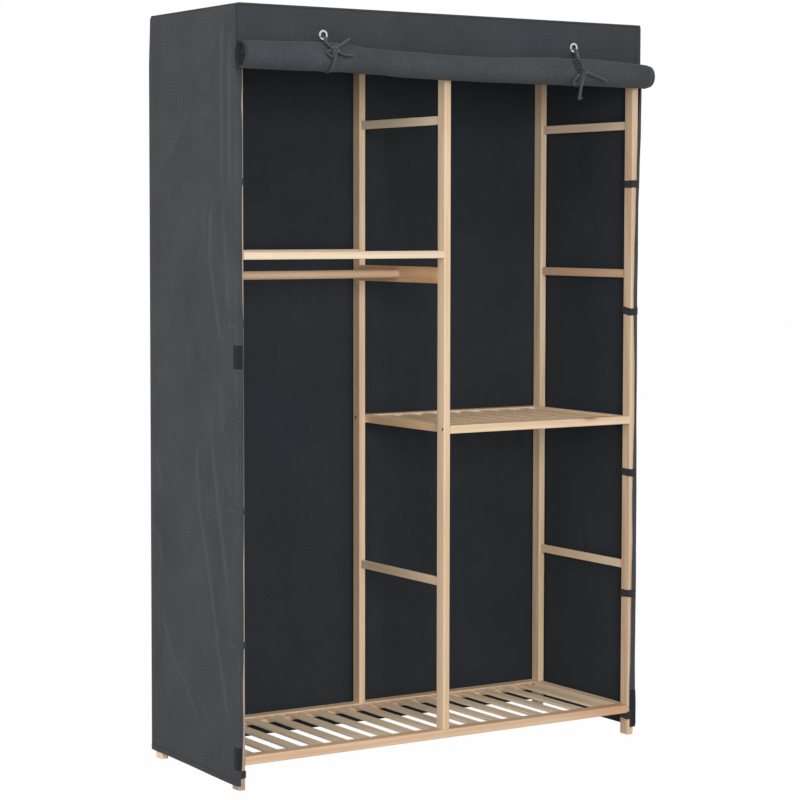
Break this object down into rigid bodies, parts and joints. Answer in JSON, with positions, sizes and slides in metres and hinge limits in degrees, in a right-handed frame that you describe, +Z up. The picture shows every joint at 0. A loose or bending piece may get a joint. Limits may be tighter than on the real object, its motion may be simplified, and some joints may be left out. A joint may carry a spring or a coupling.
{
  "type": "portable fabric wardrobe",
  "caption": "Free-standing pine frame with slatted tray, shelf and hanging rail, under a grey cloth cover whose front rolls up and ties above the opening.",
  "frame": {"origin": "on the floor under the middle of the object, the rolled-up front counted in", "axes": "+Z up from the floor, -Y out of the open front, +X towards the shelf's side"},
  "size_m": [1.1194, 0.489, 1.7201],
  "materials": {
    "pine": "plain satin pine with fine grain and small knots",
    "cover_cloth": "matt slate grey non-woven cloth",
    "eyelet_nickel": "bright nickel",
    "tie_lace": "flat woven tie of the cover's cloth",
    "strap_webbing": "dark woven strap"
  },
  "bodies": {
    "wardrobe": {"back_left_post": "pine", "back_middle_post": "pine", "back_right_post": "pine", "cover_back": "cover_cloth", "cover_front_band": "cover_cloth", "cover_left_side": "cover_cloth", "cover_right_side": "cover_cloth", "cover_top": "cover_cloth", "front_left_post": "pine", "front_middle_post": "pine", "front_right_post": "pine", "hanging_rail": "pine", "left_eyelet": "eyelet_nickel", "left_lower_rung": "pine", "left_rail_board": "pine", "left_tie_lace": "tie_lace", "left_upper_rung": "pine", "middle_lower_rung": "pine", "middle_rail_board": "pine", "middle_upper_rung": "pine", "right_eyelet": "eyelet_nickel", "right_lower_rung": "pine", "right_middle_rung": "pine", "right_strap_1": "strap_webbing", "right_strap_2": "strap_webbing", "right_strap_3": "strap_webbing", "right_strap_4": "strap_webbing", "right_tie_lace": "tie_lace", "right_upper_rung": "pine", "shelf_panel": "pine", "top_back_rail": "pine", "top_front_rail": "pine", "tray_back_rail": "pine", "tray_front_rail": "pine", "tray_left_end_rail": "pine", "tray_right_end_rail": "pine", "tray_slat_01": "pine", "tray_slat_02": "pine", "tray_slat_03": "pine", "tray_slat_04": "pine", "tray_slat_05": "pine", "tray_slat_06": "pine", "tray_slat_07": "pine", "tray_slat_08": "pine", "tray_slat_09": "pine", "tray_slat_10": "pine", "tray_slat_11": "pine", "tray_slat_12": "pine", "tray_slat_13": "pine", "tray_slat_14": "pine", "tray_slat_15": "pine", "tray_slat_16": "pine", "tray_slat_17": "pine", "upper_back_rail": "pine", "upper_front_rail": "pine"},
    "door": {"door_roll": "cover_cloth", "door_curtain": "cover_cloth"}
  },
  "joints": [
    {"name": "door_roll_down", "type": "slide", "parent": "wardrobe", "child": "door", "axis": [0, 0, 1], "range_m": [-1.53, 0], "deforming": ["door_curtain", "left_tie_lace", "right_tie_lace"]}
  ]
}
